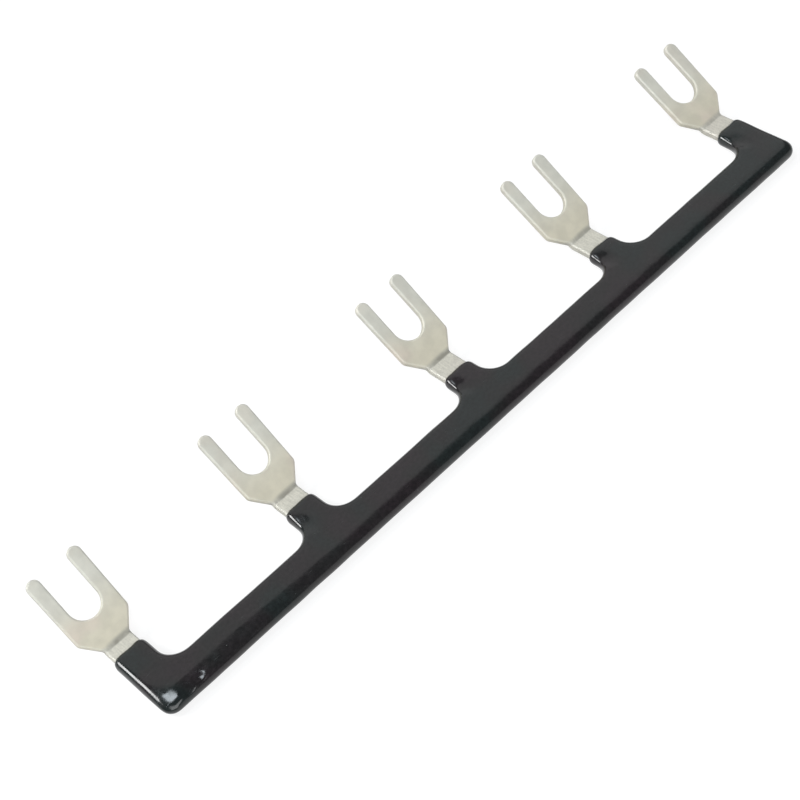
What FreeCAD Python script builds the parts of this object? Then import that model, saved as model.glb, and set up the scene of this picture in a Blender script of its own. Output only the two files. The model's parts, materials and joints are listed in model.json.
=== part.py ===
"""Insulated crossover bar: a stamped strip with five raised forks, in a dipped coat.

The bar lies along X with its middle over the origin, the forks point to +Y, and Z = 0 is
the flat underside of the coat, on which the piece rests. Lengths are in millimetres.
"""
import FreeCAD, Part
import math
import os

import Sketcher

# Driving sizes: name, value and meaning
SIZES = (
    ("pitch", 27.0, "from the centre of one fork to the next"),
    ("sheet", 1.0, "thickness of the strip"),
    ("bar_width", 4.1, "width of the strip along the bar"),
    ("neck_width", 3.9, "width of each tongue below its fork"),
    ("bend_start", 9.9, "from the bar's centre line to the start of the bend"),
    ("bend_radius", 0.2, "inside radius of the bend"),
    ("bend_angle", 36.5, "rise of the forks above the bar, in degrees"),
    ("shank", 0.25, "flat length from the bend to the fork's root"),
    ("flare", 2.35, "length of the slanted edge between root and shoulder"),
    ("shoulder_width", 7.75, "width of the fork at its shoulders"),
    ("fork_width", 8.05, "width of the fork at its tips"),
    ("fork_length", 12.2, "flat length from the bend to the tips"),
    ("slot_width", 4.3, "width of the open slot, clear of an M4 screw"),
    ("slot_floor", 4.1, "flat length from the bend to the bottom of the slot"),
    ("inner_corner", 0.8, "corner radius where a tongue meets the bar"),
    ("outer_corner", 0.6, "corner radius at the ends of the bar"),
    ("root_corner", 0.55, "corner radius at the root of the fork"),
    ("shoulder_corner", 1.0, "corner radius at the shoulder of the fork"),
    ("edge_break", 0.15, "bevel of the stamped edges"),
    ("coat_wall", 0.55, "coat over and under the strip"),
    ("bar_side_wall", 0.65, "coat beside the bar"),
    ("tab_side_wall", 0.45, "coat beside each tongue, and at the ends of the bar"),
    ("coat_edge", 0.94, "rounding of the coat's edges and of its tabs' corners"),
    ("coat_corner", 1.6, "corner radius at the ends of the coated bar"),
    ("coat_fillet", 2.6, "radius of the web beside each tab"),
    ("bare_neck_1", 1.45, "bare metal from the coat to the bend on the first tongue"),
    ("bare_neck_2", 1.85, "the same on the second tongue"),
    ("bare_neck_3", 2.55, "the same on the third tongue"),
    ("bare_neck_4", 2.75, "the same on the fourth tongue"),
    ("bare_neck_5", 2.05, "the same on the fifth tongue"),
)

BARE_NECKS = ("bare_neck_1", "bare_neck_2", "bare_neck_3", "bare_neck_4", "bare_neck_5")
FORKS = len(BARE_NECKS)
FIRST_FORK_X = f"-{FORKS - 1} * Sizes.pitch / 2"
BEND_CENTRE_HEIGHT = "(Sizes.sheet + Sizes.bend_radius)"
COAT_THICKNESS = "(2 * Sizes.coat_wall + Sizes.sheet)"
TAB_WIDTH = "(Sizes.neck_width + 2 * Sizes.tab_side_wall)"
COAT_BAR_WIDTH = "(Sizes.bar_width + 2 * Sizes.bar_side_wall)"
TIP_RADIUS = "(Sizes.fork_width - Sizes.slot_width) / 4"

# Largest share of the thickness that a rounding may take from each face
ROUND_LIMIT = 0.45
TOLERANCE = 1e-4

# Sketch references: the origin and the upright axis, and the points of a line or an arc
ORIGIN, UPRIGHT_AXIS = -1, -2
START, END, CENTRE = 1, 2, 3


def make_sheet(doc):
    """Write the driving sizes into a spreadsheet, each cell under its own name."""
    sheet = doc.addObject("Spreadsheet::Sheet", "Sizes")
    for row, (name, value, meaning) in enumerate(SIZES, start=1):
        sheet.set(f"A{row}", name)
        sheet.set(f"B{row}", str(value))
        sheet.set(f"C{row}", meaning)
        sheet.setAlias(f"B{row}", name)
    doc.recompute()
    return sheet


def origin_part(body, role):
    """Give one of the body's own origin planes or axes."""
    return next(item for item in body.Origin.OriginFeatures if item.Role == role)


def new_sketch(body, name, role):
    """Start a sketch on one of the body's own origin planes."""
    sketch = body.newObject("Sketcher::SketchObject", name)
    sketch.AttachmentSupport = (origin_part(body, role), [""])
    sketch.MapMode = "FlatFace"
    return sketch


def dimension(sketch, name, formula, *constraint):
    """Add a named dimension that follows the sheet."""
    index = sketch.addConstraint(Sketcher.Constraint(*constraint))
    sketch.renameConstraint(index, name)
    sketch.setExpression(f"Constraints.{name}", formula)


def relate(sketch, *constraint):
    """Add a geometric relation without a size."""
    sketch.addConstraint(Sketcher.Constraint(*constraint))


def line(sketch, start, end, construction=False):
    """Draw a straight line between two (x, y) points and give its index."""
    segment = Part.LineSegment(FreeCAD.Vector(*start, 0), FreeCAD.Vector(*end, 0))
    return sketch.addGeometry(segment, construction)


def arc(sketch, centre, radius, start_angle, end_angle):
    """Draw an arc, counter-clockwise between two angles in degrees, and give its index."""
    circle = Part.Circle(FreeCAD.Vector(*centre, 0), FreeCAD.Vector(0, 0, 1), radius)
    turn = Part.ArcOfCircle(circle, math.radians(start_angle), math.radians(end_angle))
    return sketch.addGeometry(turn, False)


def rectangle(sketch, width, low, high):
    """Draw a rectangle that is centred on the upright axis; a low side of None is on the axis."""
    bottom = line(sketch, (-1, -1), (1, -1))
    right = line(sketch, (1, -1), (1, 1))
    top = line(sketch, (1, 1), (-1, 1))
    left = line(sketch, (-1, 1), (-1, -1))
    for first, second in ((bottom, right), (right, top), (top, left), (left, bottom)):
        relate(sketch, "Coincident", first, END, second, START)
    relate(sketch, "Symmetric", bottom, START, bottom, END, UPRIGHT_AXIS)
    relate(sketch, "Horizontal", top)
    relate(sketch, "Vertical", left)
    relate(sketch, "Vertical", right)
    dimension(sketch, "width", width, "DistanceX", bottom, START, bottom, END, 2)
    dimension(sketch, "high", high, "DistanceY", ORIGIN, START, top, START, 1)
    if low is None:
        relate(sketch, "PointOnObject", bottom, START, ORIGIN)
    else:
        dimension(sketch, "low", low, "DistanceY", ORIGIN, START, bottom, START, -1)


def pad(body, name, sketch, height):
    """Raise a sketch into a solid of the given height."""
    feature = body.newObject("PartDesign::Pad", name)
    feature.Profile = sketch
    feature.setExpression("Length", height)
    return feature


def edge_names(shape, wanted):
    """Name the edges of a shape that pass a test."""
    return [f"Edge{n}" for n, edge in enumerate(shape.Edges, start=1) if wanted(edge)]


def dress_edges(body, kind, name, wanted):
    """Add a fillet or chamfer to the edges of the body that pass a test."""
    body.Document.recompute()
    feature = body.newObject(f"PartDesign::{kind}", name)
    base = feature.BaseFeature
    feature.Base = (base, edge_names(base.Shape, wanted))
    return feature


def round_edges(body, name, wanted, radius):
    """Round the edges of the body that pass a test."""
    dress_edges(body, "Fillet", name, wanted).setExpression("Radius", radius)


def bevel_edges(body, name, wanted, width):
    """Bevel the edges of the body that pass a test."""
    dress_edges(body, "Chamfer", name, wanted).setExpression("Size", width)


def is_along(edge, direction):
    """Say whether an edge is a straight line along a direction."""
    if not isinstance(edge.Curve, Part.Line):
        return False
    return abs(abs(edge.Curve.Direction.dot(direction)) - 1) < TOLERANCE


def is_sheet_face(face, fork_normal):
    """Say whether a face is part of the strip's two broad sides, flat or bent."""
    surface = face.Surface
    if isinstance(surface, Part.Plane):
        flat = abs(abs(surface.Axis.z) - 1) < TOLERANCE
        return flat or abs(abs(surface.Axis.dot(fork_normal)) - 1) < TOLERANCE
    return isinstance(surface, Part.Cylinder) and abs(abs(surface.Axis.x) - 1) < TOLERANCE


def fork_outline(sketch, size):
    """Draw the fork: shank, flared shoulders, two round-ended tines and a U-shaped slot."""
    neck = size("neck_width") / 2
    shoulder = size("shoulder_width") / 2
    slot = size("slot_width") / 2
    shank = size("shank")
    shoulder_height = shank + size("flare")
    tip = (size("fork_width") - size("slot_width")) / 4
    tip_height = size("fork_length") - tip
    slot_height = size("slot_floor") + slot

    # Round the outline, counter-clockwise from the lower right
    right_shank = line(sketch, (neck, 0), (neck, shank))
    right_flare = line(sketch, (neck, shank), (shoulder, shoulder_height))
    right_side = line(sketch, (shoulder, shoulder_height), (slot + 2 * tip, tip_height))
    right_tip = arc(sketch, (slot + tip, tip_height), tip, 0, 180)
    right_slot = line(sketch, (slot, tip_height), (slot, slot_height))
    floor = arc(sketch, (0, slot_height), slot, 180, 360)
    left_slot = line(sketch, (-slot, slot_height), (-slot, tip_height))
    left_tip = arc(sketch, (-slot - tip, tip_height), tip, 0, 180)
    left_side = line(sketch, (-slot - 2 * tip, tip_height), (-shoulder, shoulder_height))
    left_flare = line(sketch, (-shoulder, shoulder_height), (-neck, shank))
    left_shank = line(sketch, (-neck, shank), (-neck, 0))
    base = line(sketch, (-neck, 0), (neck, 0))

    relate(sketch, "Coincident", base, END, right_shank, START)
    relate(sketch, "Coincident", right_shank, END, right_flare, START)
    relate(sketch, "Coincident", right_flare, END, right_side, START)
    relate(sketch, "Tangent", right_side, END, right_tip, START)
    relate(sketch, "Tangent", right_tip, END, right_slot, START)
    relate(sketch, "Tangent", right_slot, END, floor, END)
    relate(sketch, "Tangent", floor, START, left_slot, START)
    relate(sketch, "Tangent", left_slot, END, left_tip, START)
    relate(sketch, "Tangent", left_tip, END, left_side, START)
    relate(sketch, "Coincident", left_side, END, left_flare, START)
    relate(sketch, "Coincident", left_flare, END, left_shank, START)
    relate(sketch, "Coincident", left_shank, END, base, START)

    relate(sketch, "PointOnObject", base, START, ORIGIN)
    relate(sketch, "Symmetric", base, START, base, END, UPRIGHT_AXIS)
    relate(sketch, "Vertical", right_shank)
    relate(sketch, "Symmetric", right_shank, END, left_shank, START, UPRIGHT_AXIS)
    relate(sketch, "Symmetric", right_flare, END, left_flare, START, UPRIGHT_AXIS)
    relate(sketch, "Vertical", right_slot)
    relate(sketch, "Vertical", left_slot)
    relate(sketch, "PointOnObject", floor, CENTRE, UPRIGHT_AXIS)
    relate(sketch, "Symmetric", right_tip, CENTRE, left_tip, CENTRE, UPRIGHT_AXIS)

    dimension(sketch, "neck", "Sizes.neck_width", "DistanceX", base, START, base, END, 2 * neck)
    dimension(sketch, "shank", "Sizes.shank", "DistanceY", ORIGIN, START, right_shank, END, shank)
    dimension(sketch, "flare", "Sizes.flare", "DistanceY",
              right_flare, START, right_flare, END, shoulder_height - shank)
    dimension(sketch, "shoulders", "Sizes.shoulder_width", "DistanceX",
              left_flare, START, right_flare, END, 2 * shoulder)
    dimension(sketch, "slot", "Sizes.slot_width / 2", "Radius", floor, slot)
    dimension(sketch, "slot_height", "Sizes.slot_floor + Sizes.slot_width / 2", "DistanceY",
              ORIGIN, START, floor, CENTRE, slot_height)
    dimension(sketch, "tip", TIP_RADIUS, "Radius", right_tip, tip)
    dimension(sketch, "tip_height", f"Sizes.fork_length - {TIP_RADIUS}", "DistanceY",
              ORIGIN, START, right_tip, CENTRE, tip_height)


def add_tongue(body, size):
    """Build the first tongue: a neck, a bend that turns upwards, and the fork beyond it."""
    neck_sketch = new_sketch(body, "neck_outline", "XY_Plane")
    neck_sketch.setExpression("AttachmentOffset.Base.x", FIRST_FORK_X)
    rectangle(neck_sketch, "Sizes.neck_width", "-Sizes.bar_width / 2", "Sizes.bend_start")
    neck = pad(body, "neck", neck_sketch, "Sizes.sheet")

    bend_sketch = new_sketch(body, "bend_section", "XZ_Plane")
    bend_sketch.setExpression("AttachmentOffset.Base.x", FIRST_FORK_X)
    bend_sketch.setExpression("AttachmentOffset.Base.z", "-Sizes.bend_start")
    rectangle(bend_sketch, "Sizes.neck_width", None, "Sizes.sheet")
    axis = line(bend_sketch, (-1, 1), (1, 1), construction=True)
    relate(bend_sketch, "Symmetric", axis, START, axis, END, UPRIGHT_AXIS)
    dimension(bend_sketch, "axis", "Sizes.neck_width", "DistanceX", axis, START, axis, END, 2)
    dimension(bend_sketch, "bend", BEND_CENTRE_HEIGHT, "DistanceY",
              ORIGIN, START, axis, START, 1)
    bend = body.newObject("PartDesign::Revolution", "bend")
    bend.Profile = bend_sketch
    bend.ReferenceAxis = (bend_sketch, ["Axis0"])
    bend.setExpression("Angle", "Sizes.bend_angle")

    fork_sketch = new_sketch(body, "fork_outline", "XY_Plane")
    fork_sketch.AttachmentOffset = FreeCAD.Placement(
        FreeCAD.Vector(0, 0, 0), FreeCAD.Rotation(FreeCAD.Vector(1, 0, 0), size("bend_angle")))
    fork_sketch.setExpression("AttachmentOffset.Rotation.Angle", "Sizes.bend_angle * 1 deg")
    fork_sketch.setExpression("AttachmentOffset.Base.x", FIRST_FORK_X)
    fork_sketch.setExpression(
        "AttachmentOffset.Base.y",
        f"Sizes.bend_start + {BEND_CENTRE_HEIGHT} * sin(Sizes.bend_angle * 1 deg)")
    fork_sketch.setExpression(
        "AttachmentOffset.Base.z",
        f"{BEND_CENTRE_HEIGHT} * (1 - cos(Sizes.bend_angle * 1 deg))")
    fork_outline(fork_sketch, size)
    fork = pad(body, "fork", fork_sketch, "Sizes.sheet")
    return [neck, bend, fork]


def make_strip(doc, size):
    """Build the stamped strip: the bar, five tongues and their rounded corners and edges."""
    body = doc.addObject("PartDesign::Body", "fork_strip")
    body.Label = "fork_strip"
    body.setExpression("Placement.Base.z", "Sizes.coat_wall")

    bar_sketch = new_sketch(body, "bar_outline", "XY_Plane")
    rectangle(bar_sketch, f"{FORKS - 1} * Sizes.pitch + Sizes.neck_width",
              "-Sizes.bar_width / 2", "Sizes.bar_width / 2")
    pad(body, "bar", bar_sketch, "Sizes.sheet")

    tongue = add_tongue(body, size)
    doc.recompute()
    row = body.newObject("PartDesign::LinearPattern", "tongue_row")
    row.Originals = tongue
    row.Direction = (origin_part(body, "X_Axis"), [""])
    row.Mode = "Spacing"
    row.setExpression("Offset", "Sizes.pitch")
    row.Occurrences = FORKS
    body.Tip = row

    half_bar = size("bar_width") / 2
    angle = math.radians(size("bend_angle"))
    up = FreeCAD.Vector(0, 0, 1)
    along_fork = FreeCAD.Vector(0, math.cos(angle), math.sin(angle))
    fork_normal = FreeCAD.Vector(0, -math.sin(angle), math.cos(angle))
    bend_centre_height = size("sheet") + size("bend_radius")
    fork_start = FreeCAD.Vector(
        0,
        size("bend_start") + bend_centre_height * math.sin(angle),
        bend_centre_height * (1 - math.cos(angle)))
    root = size("shank")
    shoulder = root + size("flare")

    def upright_at(y):
        """Test for a corner edge of the flat part at one y."""
        return lambda edge: is_along(edge, up) and abs(edge.CenterOfMass.y - y) < TOLERANCE

    def fork_corner_at(length):
        """Test for a corner edge of a fork at one length past the bend."""
        def wanted(edge):
            reach = (edge.CenterOfMass - fork_start).dot(along_fork)
            return is_along(edge, fork_normal) and abs(reach - length) < TOLERANCE
        return wanted

    round_edges(body, "inner_corners", upright_at(half_bar), "Sizes.inner_corner")
    round_edges(body, "outer_corners", upright_at(-half_bar), "Sizes.outer_corner")
    round_edges(body, "root_corners", fork_corner_at(root), "Sizes.root_corner")
    round_edges(body, "shoulder_corners", fork_corner_at(shoulder), "Sizes.shoulder_corner")

    doc.recompute()
    shape = body.Tip.Shape

    def is_stamped_edge(edge):
        """Test for an edge between a broad side of the strip and its cut outline."""
        sides = [is_sheet_face(face, fork_normal)
                 for face in shape.ancestorsOfType(edge, Part.Face)]
        return any(sides) and not all(sides)

    bevel_edges(body, "stamped_edges", is_stamped_edge,
                f"min(Sizes.edge_break; Sizes.sheet * {ROUND_LIMIT})")
    return body


def make_coat(doc, size, strip):
    """Build the dipped coat: a comb-shaped sleeve, round at every edge, fitted to the strip."""
    form = doc.addObject("PartDesign::Body", "coat_form")
    bar_sketch = new_sketch(form, "coat_bar_outline", "XY_Plane")
    rectangle(bar_sketch, f"{FORKS - 1} * Sizes.pitch + {TAB_WIDTH}",
              f"-{COAT_BAR_WIDTH} / 2", f"{COAT_BAR_WIDTH} / 2")
    pad(form, "coat_bar", bar_sketch, COAT_THICKNESS)

    for number, bare_neck in enumerate(BARE_NECKS, start=1):
        tab_sketch = new_sketch(form, f"coat_tab_outline_{number}", "XY_Plane")
        tab_sketch.setExpression(
            "AttachmentOffset.Base.x", f"{number - 1 - (FORKS - 1) / 2} * Sizes.pitch")
        rectangle(tab_sketch, TAB_WIDTH, f"-{COAT_BAR_WIDTH} / 2",
                  f"Sizes.bend_start - Sizes.{bare_neck}")
        pad(form, f"coat_tab_{number}", tab_sketch, COAT_THICKNESS)

    half_bar = size("bar_width") / 2 + size("bar_side_wall")
    thickness = 2 * size("coat_wall") + size("sheet")
    tab_ends = [size("bend_start") - size(bare_neck) for bare_neck in BARE_NECKS]
    up = FreeCAD.Vector(0, 0, 1)

    def upright_at(y):
        """Test for an upright corner edge of the coat at one y."""
        return lambda edge: is_along(edge, up) and abs(edge.CenterOfMass.y - y) < TOLERANCE

    def is_rim(edge):
        """Test for an edge round the top or the bottom of the coat, or at a tab's end."""
        box = edge.BoundBox
        if box.ZLength < TOLERANCE:
            return min(abs(box.ZMin), abs(box.ZMin - thickness)) < TOLERANCE
        return any(upright_at(end)(edge) for end in tab_ends)

    round_edges(form, "coat_webs", upright_at(half_bar), "Sizes.coat_fillet")
    round_edges(form, "coat_corners", upright_at(-half_bar), "Sizes.coat_corner")
    round_edges(form, "coat_rim", is_rim,
                f"min(Sizes.coat_edge; {COAT_THICKNESS} * {ROUND_LIMIT})")

    coat = doc.addObject("Part::Cut", "dipped_coat")
    coat.Label = "dipped_coat"
    coat.Base = form
    coat.Tool = strip
    return coat


def check_document(doc):
    """Stop if any object failed to build."""
    for item in doc.Objects:
        failed = {"Invalid", "Error"} & set(item.State)
        if failed:
            raise RuntimeError(f"{item.Name} did not build: {sorted(failed)}")


def write_parts(pieces):
    """Check each piece and write it to its own file, named by its label."""
    os.makedirs("parts", exist_ok=True)
    for piece in pieces:
        shape = piece.Shape
        if shape.isNull() or not shape.isValid() or len(shape.Solids) != 1:
            raise RuntimeError(f"{piece.Label} is not one valid solid")
        shape.exportStep(f"parts/{piece.Label}.step")
        print(piece.Label, round(shape.Volume, 3), shape.BoundBox)


def main():
    doc = FreeCAD.newDocument("crossover_bar")
    sheet = make_sheet(doc)
    size = sheet.get
    strip = make_strip(doc, size)
    coat = make_coat(doc, size, strip)
    doc.recompute()
    check_document(doc)
    write_parts([strip, coat])


main()
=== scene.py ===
"""Looks of an insulated crossover bar: a dull tin fork strip in a dipped black coat.

Lengths are in metres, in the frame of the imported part: X along the bar, forks to +Y, and
Z = 0 the flat underside on which the bar lies.
"""

import json
import math
from typing import NamedTuple

import bmesh
import bpy
from bpy.props import FloatProperty, FloatVectorProperty, IntProperty, PointerProperty
from mathutils import Matrix, Vector, noise
from mathutils.bvhtree import BVHTree


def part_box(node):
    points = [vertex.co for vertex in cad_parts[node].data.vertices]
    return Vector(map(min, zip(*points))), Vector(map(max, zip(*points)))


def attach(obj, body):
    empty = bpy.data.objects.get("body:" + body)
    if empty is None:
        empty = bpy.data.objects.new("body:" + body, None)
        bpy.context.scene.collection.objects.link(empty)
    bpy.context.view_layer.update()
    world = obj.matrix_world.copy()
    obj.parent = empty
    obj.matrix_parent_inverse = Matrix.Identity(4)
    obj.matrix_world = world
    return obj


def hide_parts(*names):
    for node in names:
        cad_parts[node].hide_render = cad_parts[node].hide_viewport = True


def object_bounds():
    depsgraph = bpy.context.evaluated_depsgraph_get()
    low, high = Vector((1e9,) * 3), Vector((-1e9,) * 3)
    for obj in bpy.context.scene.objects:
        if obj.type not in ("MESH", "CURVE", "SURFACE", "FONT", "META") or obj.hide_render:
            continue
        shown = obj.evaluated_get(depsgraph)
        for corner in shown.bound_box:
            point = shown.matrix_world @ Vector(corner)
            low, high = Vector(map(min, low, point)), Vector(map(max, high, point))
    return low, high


bl_info = {
    "name": "Insulated crossover bar",
    "version": (1, 0, 0),
    "blender": (4, 5, 0),
    "location": "View3D > Sidebar > Crossover bar",
    "description": "Finishes the fork strip, shapes the dipped coat and sets up the stage",
    "category": "Object",
}

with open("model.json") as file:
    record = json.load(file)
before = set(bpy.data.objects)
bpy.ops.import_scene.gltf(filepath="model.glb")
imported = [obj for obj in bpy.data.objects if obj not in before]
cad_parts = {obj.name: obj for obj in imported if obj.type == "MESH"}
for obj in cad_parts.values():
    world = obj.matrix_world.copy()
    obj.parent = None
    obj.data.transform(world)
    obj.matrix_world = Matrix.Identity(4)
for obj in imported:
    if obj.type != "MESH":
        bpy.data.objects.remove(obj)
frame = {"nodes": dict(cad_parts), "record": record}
CAD_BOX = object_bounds()
COAT_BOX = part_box("dipped_coat")
MM = 0.001

SLOTS = sorted((mount for mount in frame["record"]["mounts"]
                if mount["name"].startswith("screw_slot")), key=lambda mount: mount["name"])
FORK_X = [slot["pos_m"][0] for slot in SLOTS]
FORK_NORMAL = Vector(SLOTS[0]["axis"])
HALF_PITCH = (FORK_X[1] - FORK_X[0]) / 2
STRIP_HEIGHT = (COAT_BOX[0][2] + COAT_BOX[1][2]) / 2


def bend_line():
    """Give the y of the line where the forks' middle plane meets the bar's."""
    place = Vector(SLOTS[0]["pos_m"])
    return place.y - FORK_NORMAL.z * (STRIP_HEIGHT - place.z) / FORK_NORMAL.y


BEND_Y = bend_line()

# The skin beside the strip
WELD = 0.001 * MM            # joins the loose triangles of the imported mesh
SMOOTH_SHARE = 0.5           # share of one smoothing step
SLEEVE_REACH = 0.2 * MM      # skin that is this near to the strip is pressed to it
COVER = 0.05 * MM            # least thickness of the skin over the strip
PROBE_START = 1 * MM         # height above the coat from which the strip is looked for
PROBE_LENGTH = 2 * MM

# The ragged ends of the tabs
TAB_HALF = 2.6 * MM          # half the width within which a place belongs to a tab
END_REACH = 1.4 * MM         # length of the end that wanders
WANDER_LENGTH = 1.5 * MM     # width of one of its waves
WANDER_LEVEL = 0.3           # level at which the noise is read
TAB_SEED = 70                # draws other noise for each tab

# The sag of the coat's top
NEAR_START = FORK_X[1]       # x below which the near end sags more
NEAR_BLEND = 20 * MM         # length over which it comes to do so
SLUMP_START = -0.9 * MM      # y below which the outer edge falls
NEAR_SLUMP = 0.65 * MM       # how much further in it falls at the near end
SLUMP_BEND = 0.5 * MM        # length over which the skin turns down to its slope
SIDE_WIDTH = 1.4 * MM        # width of the part that falls along the near end
SIDE_END = 9 * MM            # y at which that fall ends
SIDE_BLEND = 8 * MM          # length over which it fades
CORNER_X = 3.0 * MM          # reach of the near corner's sag
CORNER_Y = 5.4 * MM
CORNER_GAIN = 1.5            # how soon it is full

# Dents in the skin: x (from the tab's middle for the tabs' own), y, half sizes, share of depth
TAB_DENT = (-1.6 * MM, 4.3 * MM, 1.6 * MM, 2.6 * MM, 0.9)
NEAR_DENTS = ((-52.9 * MM, -2.0 * MM, 1.2 * MM, 0.9 * MM, 0.7),
              (-51.0 * MM, -1.8 * MM, 1.2 * MM, 0.8 * MM, 0.6))


class Pattern(NamedTuple):
    """A noise: the size of its spots, its detail, and the values that its levels stand for."""

    size: float
    detail: float
    levels: tuple = (0, 1)
    values: tuple = (0, 1)


# The tin: its patterns, the heights between which it changes, the painted highlight on its rims
# and the painted shade on its sheared walls and necks
PATCHES = Pattern(5.5 * MM, 1.5, (0.48, 0.68), (0, 0.9))         # share of the warm colour
SMUDGES = Pattern(1.8 * MM, 3.0, (0.3, 0.7), (0.93, 1.035))      # shade
DRAWN_MARKS = Pattern(0.22 * MM, 3.0, (0.3, 0.7), (-0.09, 0.09))  # shade added on the necks
DRAWN_STRETCH = (1.0, 0.14, 0.14)
FLECKS = Pattern(0.2 * MM, 1.0, (0.34, 0.7), (-0.05, 0.07))      # shade added on the necks
TIN_GRAIN = Pattern(0.16 * MM, 5.0, (0.25, 0.75), (0.42, 0.58))  # roughness
TIN_RELIEF = 0.012 * MM
TIN_METALLIC = 0.15
TIN_SPECULAR = 0.45
ROOT_TO_TIP = (2.5 * MM, 7.0 * MM)
WARM_TO_PLAIN = (3.0 * MM, 6.0 * MM)
HIGH_WARMTH = 0.3                        # share of the warmth that is left high up
NECK_TOP = (0.6 * MM, 1.0 * MM)          # above the strip's middle
# share of the painted shade on the necks
NECK_SHADE_SHARE = 0.75
BEVEL_SAMPLES = 6
RIM_FACING = (0.997, 0.88)               # cosine between the true and the rounded normal
# share of the painted highlight on the rims
RIM_HIGHLIGHT_SHARE = 0.6
WALL_FACING = (0.2, 0.5)                 # cosine between a face's normal and the forks'
# painted shade: the share by which the sheared walls are darkened towards the colour below
WALL_SHADE_SHARE = 0.24
WALL_SHADE_COLOUR = (0.2, 0.195, 0.17)

# The painted shade along each bend: a dark line in the crease
CREASE_START = (-0.30 * MM, -0.10 * MM)  # y from the bend over which it sets in
CREASE_END = (0.05 * MM, 0.60 * MM)      # and over which it fades
CREASE_RISE = (0.1 * MM, 0.4 * MM)       # height above the strip's middle
CREASE_SIDE = (-1.7 * MM, -0.2 * MM)     # x from a fork's middle over which it grows
CREASE_FAINT = 0.12                      # its strength before that
CREASE_FADE = (10 * MM, 50 * MM)         # x along the bar over which it weakens
CREASE_FAR = 0.4                         # its strength beyond that
CREASE_SPOTS = Pattern(0.8 * MM, 2.0, (0.25, 0.6), (0.65, 1.0))

# The plastic: its patterns, its tints, its dust and what dust and scratches do to it
TINTS = Pattern(7.0 * MM, 1.5)
TINT_LEVELS = (0.4, 0.5, 0.6)            # greenish, plain, violet
GREEN_TINT = Vector((-0.0028, 0.0016, 0.0012))
VIOLET_TINT = Vector((0.0024, -0.0004, 0.0010))
MOTTLE = Pattern(0.42 * MM, 2.5, (0.25, 0.75), (0.68, 1.34))     # shade
FILM = Pattern(1.1 * MM, 3.0, (0.3, 0.7), (0.13, 0.21))          # roughness
PEEL = Pattern(0.7 * MM, 2.0)
FINE_PEEL = Pattern(0.14 * MM, 3.0)
FINE_PEEL_SHARE = 0.22
DUST_SPACING = 0.9 * MM
DUST_EDGE = (0.05, 0.13)                 # distance from a speck's middle, in spacings
DUST_LEVEL = 0.84                        # only cells above this value hold a speck
DUST_COLOUR = (0.15, 0.155, 0.16)
SCRATCHES = Pattern(0.16 * MM, 1.0, (0.74, 0.80), (0, 0.5))      # wear; a speck has 1
SCRATCH_STRETCH = (0.09, 0.8, 0.8)
WEAR_TINT = 0.2
WEAR_ROUGHNESS = 0.25
PLASTIC_RELIEF = 0.02 * MM
PLASTIC_IOR = 1.52
BUMP_STRENGTH = 0.3                      # of both materials

# The stage: the floor as the camera sees it, the lamps, the sky by height and the camera
FLOOR_DROP = 0.02 * MM
FLOOR_SEEN = (0.25, 0.25, 0.25, 1)
FLOOR_GLOW = (0.8, 0.8, 0.8, 1)
LAMPS = (  # name, direction, distance, width, height, shape, colour, setting
    ("key_lamp", (-0.38, -0.60, 0.70), 1.4, 1.0, 1.0, "RECTANGLE", (0.98, 0.99, 1.0),
     "key_light"),
    ("top_lamp", (-0.16, 0.266, 0.95), 1.2, 0.22, 0.38, "ELLIPSE", (0.86, 0.94, 1.0),
     "top_light"),
    ("front_lamp", (0.32, -0.92, 0.235), 1.2, 1.6, 0.46, "RECTANGLE", (1.0, 1.0, 1.0),
     "front_light"),
    ("back_lamp", (0.35, 0.655, 0.67), 1.2, 1.35, 0.9, "RECTANGLE", (1.0, 0.99, 0.985),
     "back_light"),
    ("side_lamp", (-0.6, 0.58, 0.55), 1.0, 0.36, 0.32, "RECTANGLE", (1.0, 1.0, 1.0),
     "side_light"))
SKY = ((0.0, (0.85, 0.85, 0.85)), (0.06, (0.6, 0.6, 0.6)), (0.2, (0.22, 0.225, 0.23)),
       (1.0, (0.17, 0.18, 0.19)))
CAMERA_PLACE = Vector((-85.5, -121.5, 166.1)) * MM
CAMERA_TARGET = Vector((-7.0, 10.7, 0.0)) * MM
CAMERA_ROLL = math.radians(-17.7)
CAMERA_SENSOR = 36
CAMERA_CLIP = (0.01, 20)


class StripSettings(bpy.types.PropertyGroup):
    """Finish of the stamped strip, with the painted highlight on its rims and the painted shade
    on its walls, necks and crease.
    """

    tin_colour: FloatVectorProperty(
        name="Tin", description="Colour of the dull tin plating at the forks' roots",
        subtype="COLOR", size=3, min=0, max=1, default=(0.695, 0.655, 0.525))
    tip_colour: FloatVectorProperty(
        name="Tips", description="Colour of the plating at the forks' tips",
        subtype="COLOR", size=3, min=0, max=1, default=(0.69, 0.68, 0.60))
    warm_colour: FloatVectorProperty(
        name="Warm patches", description="Colour of the patches where the plating is thin",
        subtype="COLOR", size=3, min=0, max=1, default=(0.70, 0.625, 0.525))
    # Painted highlight: the colour of the rims where they catch the light
    rim_highlight_colour: FloatVectorProperty(
        name="Rims", description="Colour of the rims that are rubbed bright",
        subtype="COLOR", size=3, min=0, max=1, default=(0.90, 0.90, 0.84))
    # Painted shade: the colour of the dark line in the crease along each bend
    crease_shade_colour: FloatVectorProperty(
        name="Crease", description="Colour of the dull line along the bend",
        subtype="COLOR", size=3, min=0, max=1, default=(0.33, 0.315, 0.265))
    # Painted shade: the darker colour of the flat necks beside the coat
    neck_shade_colour: FloatVectorProperty(
        name="Necks", description="Colour of the plating beside the coat",
        subtype="COLOR", size=3, min=0, max=1, default=(0.54, 0.53, 0.475))
    edge_radius: FloatProperty(
        name="Edge rounding", description="Radius at which the stamped edges catch the light",
        unit="LENGTH", default=0.32 * MM)


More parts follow.
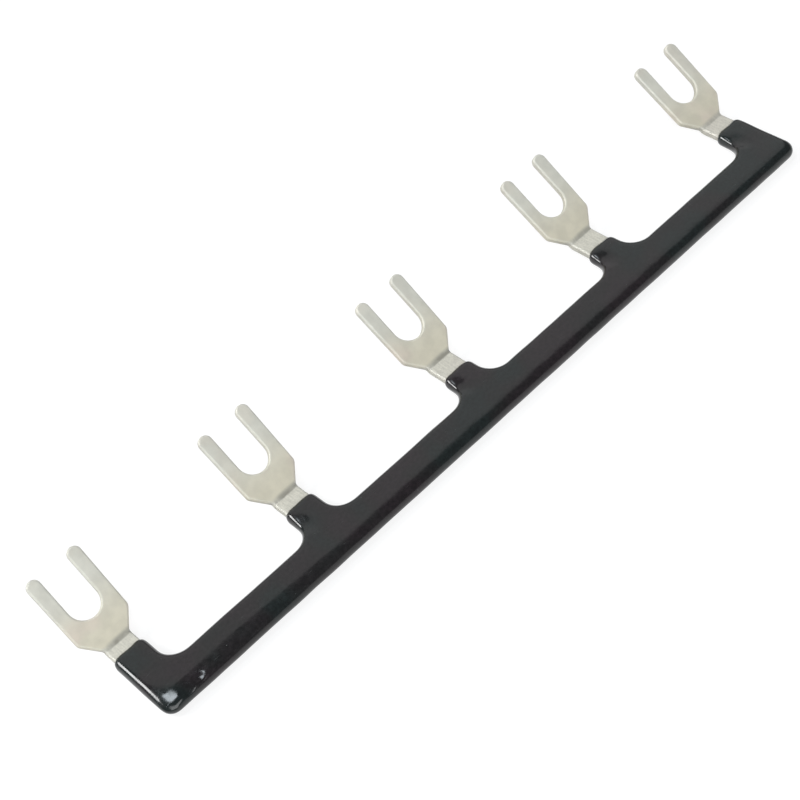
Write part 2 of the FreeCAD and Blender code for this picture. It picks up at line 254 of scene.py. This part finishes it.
class CoatSettings(bpy.types.PropertyGroup):
    """Form and finish of the dipped coat."""

    plastic_colour: FloatVectorProperty(
        name="Plastic", description="Main colour of the black plastic",
        subtype="COLOR", size=3, min=0, max=1, default=(0.0109, 0.0102, 0.0104))
    grain: FloatProperty(
        name="Grain", description="Edge length of the coat's mesh",
        unit="LENGTH", default=0.2 * MM)
    smoothing: IntProperty(
        name="Smoothing", description="How often the mesh is smoothed", default=5, min=0)
    slump: FloatProperty(
        name="Slump", description="Slope to which the skin falls at the bar's outer edge",
        subtype="FACTOR", min=0, max=1, default=0.17)
    side_slump: FloatProperty(
        name="Side slump", description="Slope to which the skin falls along the near end",
        subtype="FACTOR", min=0, max=1, default=0.15)
    corner_sag: FloatProperty(
        name="Corner sag", description="How far the skin sags at the near corner",
        unit="LENGTH", default=0.19 * MM)
    dent_depth: FloatProperty(
        name="Dents", description="Full depth of the dents in the skin",
        unit="LENGTH", default=0.3 * MM)
    wave_height: FloatProperty(
        name="Wave height", description="Height of the slow waves in the skin",
        unit="LENGTH", default=0.038 * MM)
    wave_length: FloatProperty(
        name="Wave length", description="Length of the slow waves in the skin",
        unit="LENGTH", default=3.2 * MM)
    ragged: FloatProperty(
        name="Ragged end", description="How far the coat's ends wander along the necks",
        unit="LENGTH", default=0.12 * MM)


class StageSettings(bpy.types.PropertyGroup):
    """Floor, light and camera."""

    floor_size: FloatProperty(
        name="Floor", description="Width of the floor", unit="LENGTH", default=6.0)
    floor_colour: FloatVectorProperty(
        name="Floor colour", description="Colour of the floor as the part sees it",
        subtype="COLOR", size=3, min=0, max=1, default=(0.6, 0.6, 0.6))
    key_light: FloatProperty(
        name="Key light", description="Brightness of the large lamp above the camera",
        default=3.35, min=0)
    top_light: FloatProperty(
        name="Top light", description="Brightness of the small lamp overhead",
        default=9.5, min=0)
    front_light: FloatProperty(
        name="Front light", description="Brightness of the low lamp before the bar",
        default=0.6, min=0)
    back_light: FloatProperty(
        name="Back light", description="Brightness of the broad lamp behind the forks",
        default=0.61, min=0)
    side_light: FloatProperty(
        name="Side light", description="Brightness of the small lamp at the near end",
        default=16.0, min=0)
    focal_length: FloatProperty(
        name="Focal length", description="Lens of the camera, in millimetres",
        unit="CAMERA", default=80.1, min=10)


def settings():
    """Give the scene's own settings."""
    return bpy.context.scene.crossover


def add_object(name, data):
    """Put a new object at the origin of the scene."""
    thing = bpy.data.objects.new(name, data)
    bpy.context.scene.collection.objects.link(thing)
    return thing


def add_node(tree, kind, spot, **properties):
    """Add a node at a spot of the node editor and set its properties."""
    node = tree.nodes.new(kind)
    node.location = spot
    for name, value in properties.items():
        setattr(node, name, value)
    return node


def set_input(node, name, value):
    """Set one input of a node to a fixed value."""
    node.inputs[name].default_value = value


def feed(tree, socket, value):
    """Link a socket to another node's output, or set it to a number, vector or colour."""
    if isinstance(value, bpy.types.NodeSocket):
        tree.links.new(value, socket)
    elif socket.type == "RGBA":
        socket.default_value = (*value, 1)
    else:
        socket.default_value = value


def empty_material(name):
    """Start a node material without nodes."""
    material = bpy.data.materials.new(name)
    material.use_nodes = True
    material.node_tree.nodes.clear()
    return material, material.node_tree


def new_material(name):
    """Start a node material and give its tree, its surface shader and the object coordinates."""
    material, tree = empty_material(name)
    output = add_node(tree, "ShaderNodeOutputMaterial", (900, 0))
    surface = add_node(tree, "ShaderNodeBsdfPrincipled", (600, 0))
    tree.links.new(surface.outputs["BSDF"], output.inputs["Surface"])
    coords = add_node(tree, "ShaderNodeTexCoord", (-1200, 0))
    return material, tree, surface, coords.outputs["Object"]


def noise_value(tree, vector, pattern, spot):
    """Add the noise of a pattern and give its plain value."""
    texture = add_node(tree, "ShaderNodeTexNoise", spot)
    set_input(texture, "Scale", 1 / pattern.size)
    set_input(texture, "Detail", pattern.detail)
    tree.links.new(vector, texture.inputs["Vector"])
    return texture.outputs["Fac"]


def ramp(tree, value, stops, spot):
    """Colour a value by stops of (position, colour)."""
    node = add_node(tree, "ShaderNodeValToRGB", spot)
    elements = node.color_ramp.elements
    while len(elements) < len(stops):
        elements.new(0.5)
    for element, (position, colour) in zip(elements, stops):
        element.position = position
        element.color = (*colour, 1)
    tree.links.new(value, node.inputs["Fac"])
    return node.outputs["Color"]


def math_node(tree, operation, first, second, spot):
    """Add a math node; each side may be a number or another node's output."""
    node = add_node(tree, "ShaderNodeMath", spot, operation=operation)
    feed(tree, node.inputs[0], first)
    if second is not None:
        feed(tree, node.inputs[1], second)
    return node.outputs["Value"]


def multiply(tree, first, second, spot):
    """Multiply two values."""
    return math_node(tree, "MULTIPLY", first, second, spot)


def dot_product(tree, first, second, spot):
    """Give the dot product of two vectors."""
    node = add_node(tree, "ShaderNodeVectorMath", spot, operation="DOT_PRODUCT")
    feed(tree, node.inputs[0], first)
    feed(tree, node.inputs[1], second)
    return node.outputs["Value"]


def map_range(tree, value, old, new, spot):
    """Map a value from one range to another, smoothly and clamped."""
    node = add_node(tree, "ShaderNodeMapRange", spot, interpolation_type="SMOOTHSTEP")
    for name, number in zip(("From Min", "From Max", "To Min", "To Max"), (*old, *new)):
        set_input(node, name, number)
    tree.links.new(value, node.inputs["Value"])
    return node.outputs["Result"]


def read_noise(tree, vector, pattern, spot):
    """Add the noise of a pattern and give the value that it stands for."""
    plain = noise_value(tree, vector, pattern, spot)
    return map_range(tree, plain, pattern.levels, pattern.values, (spot[0] + 200, spot[1]))


def shifted(base, reach):
    """Give the range that lies a reach from a base."""
    return base + reach[0], base + reach[1]


def mix_colour(tree, factor, first, second, spot, blend="MIX"):
    """Mix two colours; each may be a colour or another node's output."""
    node = add_node(tree, "ShaderNodeMix", spot, data_type="RGBA", blend_type=blend)
    # A Mix node has sockets for each data type: these are the ones for colours
    colours = [socket for socket in node.inputs if socket.type == "RGBA"]
    result = next(socket for socket in node.outputs if socket.type == "RGBA")
    feed(tree, node.inputs["Factor"], factor)
    feed(tree, colours[0], first)
    feed(tree, colours[1], second)
    return result


def stretched(tree, vector, scale, spot):
    """Stretch the coordinates, which draws a pattern out along an axis."""
    node = add_node(tree, "ShaderNodeMapping", spot)
    set_input(node, "Scale", scale)
    tree.links.new(vector, node.inputs["Vector"])
    return node.outputs["Vector"]


def bump_normal(tree, height, distance, normal, spot):
    """Turn a height into a bumped normal; a base normal may be given."""
    bump = add_node(tree, "ShaderNodeBump", spot)
    set_input(bump, "Strength", BUMP_STRENGTH)
    set_input(bump, "Distance", distance)
    tree.links.new(height, bump.inputs["Height"])
    if normal is not None:
        tree.links.new(normal, bump.inputs["Normal"])
    return bump.outputs["Normal"]


def plating_tone(tree, coords, axes, look):
    """Colour the plating by height, with warm patches low down and smudges all over."""
    rise = map_range(tree, axes["Z"], ROOT_TO_TIP, (0, 1), (-900, 500))
    tone = mix_colour(tree, rise, look.tin_colour, look.tip_colour, (-700, 500))
    warm = read_noise(tree, coords, PATCHES, (-900, 300))
    low = map_range(tree, axes["Z"], WARM_TO_PLAIN, (1, HIGH_WARMTH), (-700, 160))
    warm = multiply(tree, warm, low, (-560, 260))
    tone = mix_colour(tree, warm, tone, look.warm_colour, (-480, 400))
    shade = read_noise(tree, coords, SMUDGES, (-900, 60))
    return mix_colour(tree, 1.0, tone, shade, (-280, 360), "MULTIPLY")


def neck_shade_and_marks(tree, coords, axes, marks, tone, look):
    """Darken the necks with painted shade, and give them the drawn strip's marks and specks from
    the coat's edge.
    """
    on_neck = map_range(tree, axes["Z"], shifted(STRIP_HEIGHT, NECK_TOP), (1, 0),
                        (-700, -1200))
    # Painted shade on the flat necks, which catch more light than the tilted forks
    dull = multiply(tree, on_neck, NECK_SHADE_SHARE, (-480, -1200))
    tone = mix_colour(tree, dull, tone, look.neck_shade_colour, (-180, 340))
    contrast = map_range(tree, marks, DRAWN_MARKS.levels, DRAWN_MARKS.values, (-700, -1000))
    flecks = read_noise(tree, coords, FLECKS, (-900, -1150))
    contrast = math_node(tree, "ADD", contrast, flecks, (-600, -1050))
    contrast = multiply(tree, contrast, on_neck, (-500, -1050))
    contrast = math_node(tree, "ADD", contrast, 1.0, (-300, -1050))
    return mix_colour(tree, 1.0, tone, contrast, (-80, 320), "MULTIPLY")


def crease_shade_mask(tree, coords, axes):
    """Mask the painted shade in the crease on the fork's side of each bend, which fades towards
    one edge.
    """
    near = map_range(tree, axes["Y"], shifted(BEND_Y, CREASE_START), (0, 1), (-500, -200))
    far = map_range(tree, axes["Y"], shifted(BEND_Y, CREASE_END), (1, 0), (-500, -400))
    upper = map_range(tree, axes["Z"], shifted(STRIP_HEIGHT, CREASE_RISE), (0, 1),
                      (-500, -600))
    # Each fork's middle comes to half a pitch; whole pitches are added to stay above zero
    across = math_node(tree, "ADD", axes["X"], 11 * HALF_PITCH, (-700, -800))
    across = math_node(tree, "MODULO", across, 2 * HALF_PITCH, (-500, -800))
    side = map_range(tree, across, shifted(HALF_PITCH, CREASE_SIDE), (CREASE_FAINT, 1),
                     (-300, -800))
    along = map_range(tree, axes["X"], CREASE_FADE, (1, CREASE_FAR), (-300, -1000))
    spots = read_noise(tree, coords, CREASE_SPOTS, (-500, -1200))
    mask = near
    for step, share in enumerate((far, upper, along, side, spots)):
        mask = multiply(tree, mask, share, (150 * step - 300, -200 - 100 * step))
    return mask


def rim_highlight_and_wall_shade(tree, soft_normal, tone, look):
    """Paint highlights on the rounded edges and paint shade on the sheared walls, which keeps
    them darker than the rolled faces.
    """
    true_normal = add_node(tree, "ShaderNodeNewGeometry", (-900, 960)).outputs["True Normal"]
    facing = dot_product(tree, soft_normal, true_normal, (-700, 820))
    edge = map_range(tree, facing, RIM_FACING, (0, RIM_HIGHLIGHT_SHARE), (-500, 820))
    wall = dot_product(tree, true_normal, FORK_NORMAL, (-700, 1000))
    wall = math_node(tree, "ABSOLUTE", wall, None, (-500, 1000))
    wall = map_range(tree, wall, WALL_FACING, (1, 0), (-320, 1000))
    flat = math_node(tree, "SUBTRACT", 1.0, wall, (-140, 900))
    edge = multiply(tree, edge, flat, (40, 900))
    # Painted highlight on the rounded edges
    tone = mix_colour(tree, edge, tone, look.rim_highlight_colour, (300, 300))
    # Painted shade on the sheared walls
    dull = multiply(tree, wall, WALL_SHADE_SHARE, (40, 1000))
    return mix_colour(tree, dull, tone, WALL_SHADE_COLOUR, (440, 300))


def tin_material(look):
    """Dull tin plating: soft patches, fine grain, drawn marks, painted highlights on the rims,
    painted shade on the walls, the necks and in the crease.
    """
    material, tree, surface, coords = new_material("dull_tin")
    links = tree.links
    separate = add_node(tree, "ShaderNodeSeparateXYZ", (-1100, -300))
    links.new(coords, separate.inputs["Vector"])
    axes = separate.outputs
    drawn = stretched(tree, coords, DRAWN_STRETCH, (-1100, -1000))
    marks = noise_value(tree, drawn, DRAWN_MARKS, (-900, -1000))
    rounded = add_node(tree, "ShaderNodeBevel", (-900, 760), samples=BEVEL_SAMPLES)
    set_input(rounded, "Radius", look.edge_radius)
    soft_normal = rounded.outputs["Normal"]

    tone = plating_tone(tree, coords, axes, look)
    tone = neck_shade_and_marks(tree, coords, axes, marks, tone, look)
    # Painted shade in the crease along each bend
    crease = crease_shade_mask(tree, coords, axes)
    tone = mix_colour(tree, crease, tone, look.crease_shade_colour, (150, 300))
    tone = rim_highlight_and_wall_shade(tree, soft_normal, tone, look)
    links.new(tone, surface.inputs["Base Color"])

    grain = noise_value(tree, coords, TIN_GRAIN, (-900, -1400))
    rough = map_range(tree, grain, TIN_GRAIN.levels, TIN_GRAIN.values, (-700, -1400))
    links.new(rough, surface.inputs["Roughness"])
    relief = math_node(tree, "ADD", grain, marks, (-500, -1300))
    normal = bump_normal(tree, relief, TIN_RELIEF, soft_normal, (200, -1300))
    links.new(normal, surface.inputs["Normal"])
    set_input(surface, "Metallic", TIN_METALLIC)
    set_input(surface, "Specular IOR Level", TIN_SPECULAR)
    return material


def wear_mask(tree, coords):
    """Mask scattered specks of dust and fine scratches along the bar."""
    links = tree.links
    cells = add_node(tree, "ShaderNodeTexVoronoi", (-900, -100))
    set_input(cells, "Scale", 1 / DUST_SPACING)
    links.new(coords, cells.inputs["Vector"])
    speck = map_range(tree, cells.outputs["Distance"], DUST_EDGE, (1, 0), (-700, -100))
    cell = add_node(tree, "ShaderNodeSeparateColor", (-700, -260))
    links.new(cells.outputs["Color"], cell.inputs["Color"])
    chosen = math_node(tree, "GREATER_THAN", cell.outputs["Red"], DUST_LEVEL, (-520, -260))
    dust = multiply(tree, speck, chosen, (-340, -140))
    lines = stretched(tree, coords, SCRATCH_STRETCH, (-1100, -400))
    scratches = read_noise(tree, lines, SCRATCHES, (-900, -400))
    return math_node(tree, "MAXIMUM", dust, scratches, (-340, -300))


def plastic_material(look):
    """Black dipped plastic: glossy, mottled, tinted in patches, with specks and scratches."""
    material, tree, surface, coords = new_material("black_dip")
    links = tree.links
    base = Vector(look.plastic_colour)
    wear = wear_mask(tree, coords)

    tints = noise_value(tree, coords, TINTS, (-900, 300))
    stops = zip(TINT_LEVELS, (base + GREEN_TINT, base, base + VIOLET_TINT))
    tone = ramp(tree, tints, tuple(stops), (-700, 300))
    shade = read_noise(tree, coords, MOTTLE, (-900, 100))
    tone = mix_colour(tree, 1.0, tone, shade, (-480, 260), "MULTIPLY")
    faint = multiply(tree, wear, WEAR_TINT, (-160, -140))
    tone = mix_colour(tree, faint, tone, DUST_COLOUR, (100, 260))
    links.new(tone, surface.inputs["Base Color"])

    rough = read_noise(tree, coords, FILM, (-900, -600))
    worn = multiply(tree, wear, WEAR_ROUGHNESS, (-160, -500))
    rough = math_node(tree, "ADD", rough, worn, (0, -500))
    links.new(rough, surface.inputs["Roughness"])

    peel = noise_value(tree, coords, PEEL, (-900, -800))
    fine = noise_value(tree, coords, FINE_PEEL, (-900, -980))
    fine = multiply(tree, fine, FINE_PEEL_SHARE, (-700, -980))
    relief = math_node(tree, "ADD", peel, fine, (-520, -840))
    relief = math_node(tree, "ADD", relief, wear, (-340, -840))
    normal = bump_normal(tree, relief, PLASTIC_RELIEF, None, (0, -800))
    links.new(normal, surface.inputs["Normal"])
    set_input(surface, "IOR", PLASTIC_IOR)
    return material


def merged_copy(node_name, name):
    """Copy a node's mesh with its loose triangles joined, as a new object at the origin."""
    mesh = frame["nodes"][node_name].data.copy()
    mesh.name = name
    mesh.materials.clear()
    form = bmesh.new()
    form.from_mesh(mesh)
    bmesh.ops.remove_doubles(form, verts=form.verts, dist=WELD)
    form.to_mesh(mesh)
    form.free()
    return add_object(name, mesh)


def apply_modifiers(piece):
    """Replace a piece's mesh by the one that its modifiers make."""
    graph = bpy.context.evaluated_depsgraph_get()
    made = bpy.data.meshes.new_from_object(piece.evaluated_get(graph))
    old = piece.data
    piece.modifiers.clear()
    piece.data = made
    bpy.data.meshes.remove(old)


def strip_tree():
    """Index the strip's surface, for the coat to lie against."""
    form = bmesh.new()
    form.from_mesh(frame["nodes"]["fork_strip"].data)
    tree = BVHTree.FromBMesh(form)
    form.free()
    return tree


def smooth_step(value):
    """Rise smoothly from 0 to 1 as the value does."""
    value = min(max(value, 0.0), 1.0)
    return value * value * (3 - 2 * value)


def soft_max(first, second, width):
    """Give the larger of two values, blended where they are alike."""
    return (first + second + math.hypot(first - second, width)) / 2


def falling(distance, slope):
    """Give the depth of a skin that starts flat and turns down to a slope."""
    distance = max(distance, 0.0)
    return slope * distance ** 2 / (distance + SLUMP_BEND)


def dents_near(nearest):
    """List the dents beside one tab as (x, y, half sizes, share of the full depth)."""
    if nearest == FORK_X[0]:
        return NEAR_DENTS
    x, *rest = TAB_DENT
    return ((nearest + x, *rest),)


def sag(place, nearest, look):
    """Give how far the coat's top sinks at a place: outer edge, near end and dents."""
    near = smooth_step((NEAR_START - place.x) / NEAR_BLEND)
    depth = falling(SLUMP_START + near * NEAR_SLUMP - place.y, look.slump)
    beside = smooth_step((SIDE_END - place.y) / SIDE_BLEND)
    depth += falling(COAT_BOX[0][0] + SIDE_WIDTH - place.x, look.side_slump * beside)
    corner = math.hypot((place.x - COAT_BOX[0][0]) / CORNER_X,
                        (place.y - COAT_BOX[0][1]) / CORNER_Y)
    depth += look.corner_sag * smooth_step(CORNER_GAIN * (1 - corner))
    for x, y, half_x, half_y, share in dents_near(nearest):
        reach = math.hypot((place.x - x) / half_x, (place.y - y) / half_y)
        if reach < 1:
            depth += look.dent_depth * share * (1 + math.cos(math.pi * reach)) / 2
    return depth


def tab_tips(form):
    """Give the y at which each tab of the coat ends."""
    return {x: max(v.co.y for v in form.verts if abs(v.co.x - x) < TAB_HALF)
            for x in FORK_X}


def ragged_shift(place, nearest, tip, look):
    """Give how far a place at a tab's end wanders along the neck."""
    if abs(place.x - nearest) >= TAB_HALF:
        return 0.0
    reach = (place.y - tip) / END_REACH + 1
    wander = noise.noise(Vector((place.x / WANDER_LENGTH, nearest * TAB_SEED, WANDER_LEVEL)))
    return look.ragged * wander * smooth_step(reach)


def kept_above(strip, place):
    """Give the height of a place in the coat's top, held off the strip below it."""
    start = Vector((place.x, place.y, COAT_BOX[1][2] + PROBE_START))
    hit = strip.ray_cast(start, Vector((0, 0, -1)), PROBE_LENGTH)[0]
    return place.z if hit is None else soft_max(place.z, hit.z + COVER, COVER)


def skin_place(vertex, strip, tips, look):
    """Give the place on the finished skin of one vertex of the smoothed coat."""
    nearest = min(FORK_X, key=lambda x: abs(x - vertex.co.x))
    wave = noise.noise(vertex.co / look.wave_length)
    place = vertex.co + vertex.normal * look.wave_height * wave
    place.y += ragged_shift(place, nearest, tips[nearest], look)
    if strip.find_nearest(vertex.co, SLEEVE_REACH)[0] is not None:
        place = strip.find_nearest(place)[0]
    elif vertex.co.z > STRIP_HEIGHT:
        share = (vertex.co.z - STRIP_HEIGHT) / (COAT_BOX[1][2] - STRIP_HEIGHT)
        place.z -= share * sag(vertex.co, nearest, look)
        place.z = kept_above(strip, place)
    place.z = max(place.z, COAT_BOX[0][2])
    return place


def shape_skin(piece, look):
    """Smooth the coat, let its top sag, wave its skin and press its sleeve to the strip."""
    strip = strip_tree()
    form = bmesh.new()
    form.from_mesh(piece.data)
    for _ in range(look.smoothing):
        bmesh.ops.smooth_vert(form, verts=form.verts, factor=SMOOTH_SHARE,
                              use_axis_x=True, use_axis_y=True, use_axis_z=True)
    form.normal_update()
    tips = tab_tips(form)
    for vertex in form.verts:
        vertex.co = skin_place(vertex, strip, tips, look)
    for face in form.faces:
        face.smooth = True
    form.to_mesh(piece.data)
    form.free()


class CROSSOVER_OT_strip(bpy.types.Operator):
    """Give the stamped strip its dull tin finish, with painted highlights and painted shade"""

    bl_idname = "crossover.strip"
    bl_label = "Finish the fork strip"

    def execute(self, context):
        strip = frame["nodes"]["fork_strip"]
        strip.data.materials.clear()
        strip.data.materials.append(tin_material(settings().strip))
        return {"FINISHED"}


class CROSSOVER_OT_coat(bpy.types.Operator):
    """Shape the dipped coat over the bar and the roots of the tongues"""

    bl_idname = "crossover.coat"
    bl_label = "Shape the dipped coat"

    def execute(self, context):
        look = settings().coat
        coat = merged_copy("dipped_coat", "coat_skin")
        remesh = coat.modifiers.new("skin", "REMESH")
        remesh.mode = "VOXEL"
        remesh.voxel_size = look.grain
        apply_modifiers(coat)
        shape_skin(coat, look)
        coat.data.materials.clear()
        coat.data.materials.append(plastic_material(look))
        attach(coat, "root")
        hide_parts("dipped_coat")
        return {"FINISHED"}


def floor_material(colour):
    """White paper that keeps the part's soft shadow and looks brighter than it lights."""
    material, tree = empty_material("white_paper")
    links = tree.links
    output = add_node(tree, "ShaderNodeOutputMaterial", (600, 0))
    paper = add_node(tree, "ShaderNodeBsdfDiffuse", (0, 200))
    set_input(paper, "Color", (*colour, 1))
    seen = add_node(tree, "ShaderNodeBsdfDiffuse", (0, 0))
    set_input(seen, "Color", FLOOR_SEEN)
    glow = add_node(tree, "ShaderNodeEmission", (0, -200))
    set_input(glow, "Color", FLOOR_GLOW)
    bright = add_node(tree, "ShaderNodeAddShader", (200, -100))
    links.new(seen.outputs["BSDF"], bright.inputs[0])
    links.new(glow.outputs["Emission"], bright.inputs[1])
    path = add_node(tree, "ShaderNodeLightPath", (-400, 400))
    direct = math_node(tree, "MAXIMUM", path.outputs["Is Camera Ray"],
                       path.outputs["Is Glossy Ray"], (-200, 400))
    direct = math_node(tree, "MAXIMUM", direct, path.outputs["Is Transmission Ray"],
                       (0, 400))
    mix = add_node(tree, "ShaderNodeMixShader", (400, 0))
    links.new(direct, mix.inputs["Fac"])
    links.new(paper.outputs["BSDF"], mix.inputs[1])
    links.new(bright.outputs["Shader"], mix.inputs[2])
    links.new(mix.outputs["Shader"], output.inputs["Surface"])
    return material


def lay_floor(look):
    """Lay the floor just under the part."""
    form = bmesh.new()
    drop = Matrix.Translation((0, 0, CAD_BOX[0][2] - FLOOR_DROP))
    bmesh.ops.create_grid(form, x_segments=1, y_segments=1, size=look.floor_size / 2,
                          matrix=drop)
    mesh = bpy.data.meshes.new("floor")
    form.to_mesh(mesh)
    form.free()
    mesh.materials.append(floor_material(look.floor_colour))
    floor = add_object("floor", mesh)


def add_lamp(name, direction, distance, width, height, shape, colour, brightness):
    """Hang a flat lamp in a direction from the part; brightness is what a mirror would show."""
    lamp = bpy.data.lights.new(name, "AREA")
    lamp.shape = shape
    lamp.size = width
    lamp.size_y = height
    lamp.energy = brightness * math.pi * width * height
    lamp.color = colour
    away = Vector(direction).normalized()
    turn = away.to_track_quat("Z", "Y").to_matrix().to_4x4()
    add_object(name, lamp).matrix_world = Matrix.Translation(away * distance) @ turn


def studio_world():
    """A studio that is pale near the floor and dim overhead."""
    world = bpy.data.worlds.new("studio")
    bpy.context.scene.world = world
    world.use_nodes = True
    tree = world.node_tree
    tree.nodes.clear()
    output = add_node(tree, "ShaderNodeOutputWorld", (400, 0))
    sky = add_node(tree, "ShaderNodeBackground", (200, 0))
    direction = add_node(tree, "ShaderNodeTexCoord", (-600, 0))
    axes = add_node(tree, "ShaderNodeSeparateXYZ", (-400, 0))
    tree.links.new(direction.outputs["Generated"], axes.inputs["Vector"])
    tone = ramp(tree, axes.outputs["Z"], SKY, (-200, 0))
    tree.links.new(tone, sky.inputs["Color"])
    tree.links.new(sky.outputs["Background"], output.inputs["Surface"])


def add_camera(focal_length):
    """Set the camera at the photograph's place, aimed at the bar and rolled."""
    data = bpy.data.cameras.new("camera")
    data.lens = focal_length
    data.sensor_width = CAMERA_SENSOR
    data.clip_start, data.clip_end = CAMERA_CLIP
    aim = (CAMERA_TARGET - CAMERA_PLACE).to_track_quat("-Z", "Y").to_matrix().to_4x4()
    camera = add_object("camera", data)
    camera.matrix_world = (Matrix.Translation(CAMERA_PLACE) @ aim
                           @ Matrix.Rotation(CAMERA_ROLL, 4, "Z"))
    bpy.context.scene.camera = camera


class CROSSOVER_OT_stage(bpy.types.Operator):
    """Lay the floor, hang the lamps and place the camera"""

    bl_idname = "crossover.stage"
    bl_label = "Set the stage"

    def execute(self, context):
        look = settings().stage
        lay_floor(look)
        for *lamp, setting in LAMPS:
            add_lamp(*lamp, getattr(look, setting))
        studio_world()
        add_camera(look.focal_length)
        context.scene.view_settings.view_transform = "Standard"
        return {"FINISHED"}


class CrossoverSettings(bpy.types.PropertyGroup):
    """All settings of the crossover bar."""

    strip: PointerProperty(type=StripSettings, name="Strip", description="The fork strip")
    coat: PointerProperty(type=CoatSettings, name="Coat", description="The dipped coat")
    stage: PointerProperty(type=StageSettings, name="Stage", description="The stage")


class CROSSOVER_PT_sidebar(bpy.types.Panel):
    """Sidebar with the settings and the steps"""

    bl_idname = "CROSSOVER_PT_sidebar"
    bl_label = "Crossover bar"
    bl_space_type = "VIEW_3D"
    bl_region_type = "UI"
    bl_category = "Crossover bar"

    def draw(self, context):
        groups = settings()
        steps = ((groups.strip, CROSSOVER_OT_strip), (groups.coat, CROSSOVER_OT_coat),
                 (groups.stage, CROSSOVER_OT_stage))
        for group, step in steps:
            box = self.layout.box()
            for name in group.bl_rna.properties.keys():
                if name not in {"rna_type", "name"}:
                    box.prop(group, name)
            box.operator(step.bl_idname)


CLASSES = (StripSettings, CoatSettings, StageSettings, CrossoverSettings,
           CROSSOVER_OT_strip, CROSSOVER_OT_coat, CROSSOVER_OT_stage, CROSSOVER_PT_sidebar)


def register():
    """Register the classes and hang the settings on the scene."""
    for item in CLASSES:
        bpy.utils.register_class(item)
    bpy.types.Scene.crossover = PointerProperty(type=CrossoverSettings)


def unregister():
    """Take the settings and the classes away again."""
    del bpy.types.Scene.crossover
    for item in reversed(CLASSES):
        bpy.utils.unregister_class(item)


def main():
    """Build the looks in order."""
    register()
    bpy.ops.crossover.strip()
    bpy.ops.crossover.coat()
    bpy.ops.crossover.stage()


if __name__ == "__main__":
    main()
